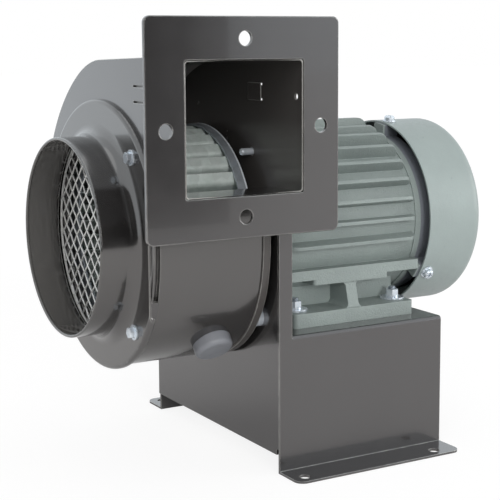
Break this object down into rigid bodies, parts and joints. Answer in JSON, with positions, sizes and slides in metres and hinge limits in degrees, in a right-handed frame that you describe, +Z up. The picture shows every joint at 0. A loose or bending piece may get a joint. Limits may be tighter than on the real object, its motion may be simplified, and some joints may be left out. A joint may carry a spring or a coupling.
{
  "type": "centrifugal blower",
  "caption": "Direct-driven centrifugal blower: sheet-steel scroll with round inlet collar and square outlet flange, finned foot-mounted motor on a folded steel pedestal.",
  "frame": {"origin": "centre of the four foot holes, on the floor plane under the pedestal", "axes": "+X along the motor axis from the inlet collar towards the motor cowl, the outlet faces -Y, +Z up"},
  "size_m": [0.3668, 0.296, 0.3665],
  "materials": {
    "housing_paint": "semi-gloss dark bronze-grey paint",
    "grey_plastic": "matt grey moulded plastic",
    "bright_wire": "bright woven wire",
    "zinc": "bright zinc plate",
    "motor_paint": "cast texture under grey-green paint",
    "cowl_paint": "smooth grey-green paint",
    "lamination": "stacked electrical steel",
    "copper_wire": "varnished copper",
    "bearing_steel": "ground steel",
    "shaft_steel": "turned steel",
    "cast_aluminium": "cast",
    "black_plastic": "moulded",
    "galvanised": "galvanised sheet"
  },
  "bodies": {
    "housing": {"pedestal": "housing_paint", "housing_plate": "housing_paint", "scroll_wrapper": "housing_paint", "inlet_side_plate": "housing_paint", "motor_side_plate": "housing_paint", "outlet_flange": "housing_paint", "inlet_cover": "housing_paint", "access_plug": "grey_plastic", "inlet_guard": "bright_wire", "inlet_cover_screws": "zinc", "housing_bolts": "zinc", "housing_nuts": "zinc", "housing_spacers": "zinc", "motor_frame": "motor_paint", "front_end_shield": "motor_paint", "rear_end_shield": "motor_paint", "end_shield_screws": "zinc", "stator_core": "lamination", "stator_windings": "copper_wire", "bearing_outer_rings": "bearing_steel", "fan_cowl": "cowl_paint", "cowl_screws": "zinc", "foot_bolts": "zinc", "foot_washers": "zinc", "foot_spring_washers": "zinc", "foot_nuts": "zinc", "terminal_box": "motor_paint", "terminal_box_lid": "cowl_paint", "lid_screws": "zinc", "terminal_block": "black_plastic", "cable_gland": "black_plastic"},
    "rotor": {"bearing_inner_rings": "bearing_steel", "motor_shaft": "shaft_steel", "shaft_key": "shaft_steel", "rotor_core": "lamination", "rotor_end_rings": "cast_aluminium", "cooling_fan": "black_plastic", "fan_retaining_ring": "shaft_steel", "impeller_back_plate": "galvanised", "impeller_front_ring": "galvanised", "impeller_blades": "galvanised", "impeller_hub": "cast_aluminium", "impeller_rivets": "zinc", "hub_washer": "zinc", "hub_screw": "zinc"}
  },
  "joints": [
    {"name": "rotor_spin", "type": "hinge", "parent": "housing", "child": "rotor", "pos_m": [0, -0.01, 0.193], "axis": [1, 0, 0], "continuous": true}
  ]
}
